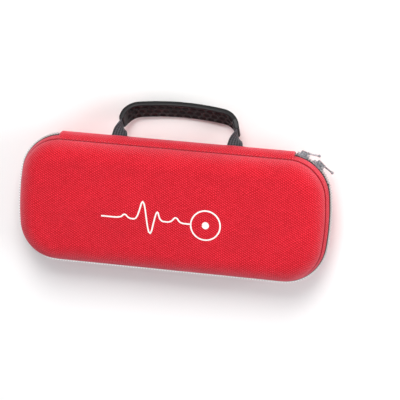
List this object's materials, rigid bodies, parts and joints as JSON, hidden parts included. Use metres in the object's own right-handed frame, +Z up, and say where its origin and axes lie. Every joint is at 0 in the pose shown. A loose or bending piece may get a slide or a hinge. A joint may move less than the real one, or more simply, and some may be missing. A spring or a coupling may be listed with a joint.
{
  "type": "hard zip case",
  "caption": "Long moulded fabric-faced hard case that opens on a spine along one side, closed by a zip round the other three, with a moulded carry handle.",
  "frame": {"origin": "on the flat underside, under the middle of the case without its handle", "axes": "+X along the case towards the parked zip sliders, +Y towards the spine and handle, +Z up from base to lid"},
  "size_m": [0.28, 0.1495, 0.06],
  "materials": {
    "red_shell_fabric": "matt oxford weave",
    "black_lining_fabric": "matt knit",
    "black_tape": "matt woven tape",
    "nickel": "bright nickel plate",
    "zip_teeth": "bright metal",
    "grip_rubber": "matt moulded",
    "black_webbing": "ribbed webbing",
    "pocket_net": "open net",
    "hook_tape": "hook tape",
    "loop_tape": "loop tape"
  },
  "bodies": {
    "base": {"base_shell": "red_shell_fabric", "base_lining": "black_lining_fabric", "base_rim_binding": "black_tape", "zip_tape_base": "black_tape", "zip_chain_base": "zip_teeth", "zip_closed_chain": "zip_teeth", "zip_closed_tape": "black_tape", "zip_stops_base": "nickel", "hook_straps": "black_webbing", "hook_pads": "hook_tape", "loop_straps": "black_webbing", "loop_pads": "loop_tape"},
    "lid": {"lid_shell": "red_shell_fabric", "lid_lining": "black_lining_fabric", "lid_rim_binding": "black_tape", "zip_tape_lid": "black_tape", "zip_chain_lid": "zip_teeth", "zip_stop_lid": "nickel", "pocket_mesh": "pocket_net", "pocket_binding": "black_tape"},
    "spine": {"spine_panel": "red_shell_fabric", "spine_lining": "black_lining_fabric", "handle_patches": "red_shell_fabric"},
    "handle": {"handle_grip": "grip_rubber", "handle_webbing": "black_webbing"},
    "first_slider": {"first_slider": "nickel", "first_crown": "nickel"},
    "first_pull": {"first_pull": "nickel"},
    "second_slider": {"second_slider": "nickel", "second_crown": "nickel"},
    "second_pull": {"second_pull": "nickel"}
  },
  "joints": [
    {"name": "spine_fold", "type": "hinge", "parent": "base", "child": "spine", "pos_m": [0, 0.0573, 0.02], "axis": [-1, 0, 0], "range_deg": [0, 50]},
    {"name": "lid_fold", "type": "hinge", "parent": "spine", "child": "lid", "pos_m": [0, 0.0573, 0.04], "axis": [-1, 0, 0], "range_deg": [0, 60]},
    {"name": "handle_swing", "type": "hinge", "parent": "spine", "child": "handle", "pos_m": [0, 0.0608, 0.03], "axis": [1, 0, 0], "range_deg": [-1.5, 70]},
    {"name": "first_slider_run", "type": "hinge", "parent": "base", "child": "first_slider", "pos_m": [0.10089, 0.0195, 0.03], "axis": [0, 0, -1], "range_deg": [-2, 1]},
    {"name": "second_slider_run", "type": "hinge", "parent": "base", "child": "second_slider", "pos_m": [0.10089, 0.0195, 0.03], "axis": [0, 0, -1], "range_deg": [0, 18]},
    {"name": "first_pull_swing", "type": "hinge", "parent": "first_slider", "child": "first_pull", "pos_m": [0.11299, 0.05888, 0.03], "axis": [0, 0, 1], "range_deg": [-6, 90]},
    {"name": "second_pull_swing", "type": "hinge", "parent": "second_slider", "child": "second_pull", "pos_m": [0.12741, 0.05103, 0.03], "axis": [0, 0, 1], "range_deg": [-8, 95]}
  ],
  "couplings": [
    {"joint": "lid_fold", "follows": "spine_fold", "ratio": 1.2}
  ]
}
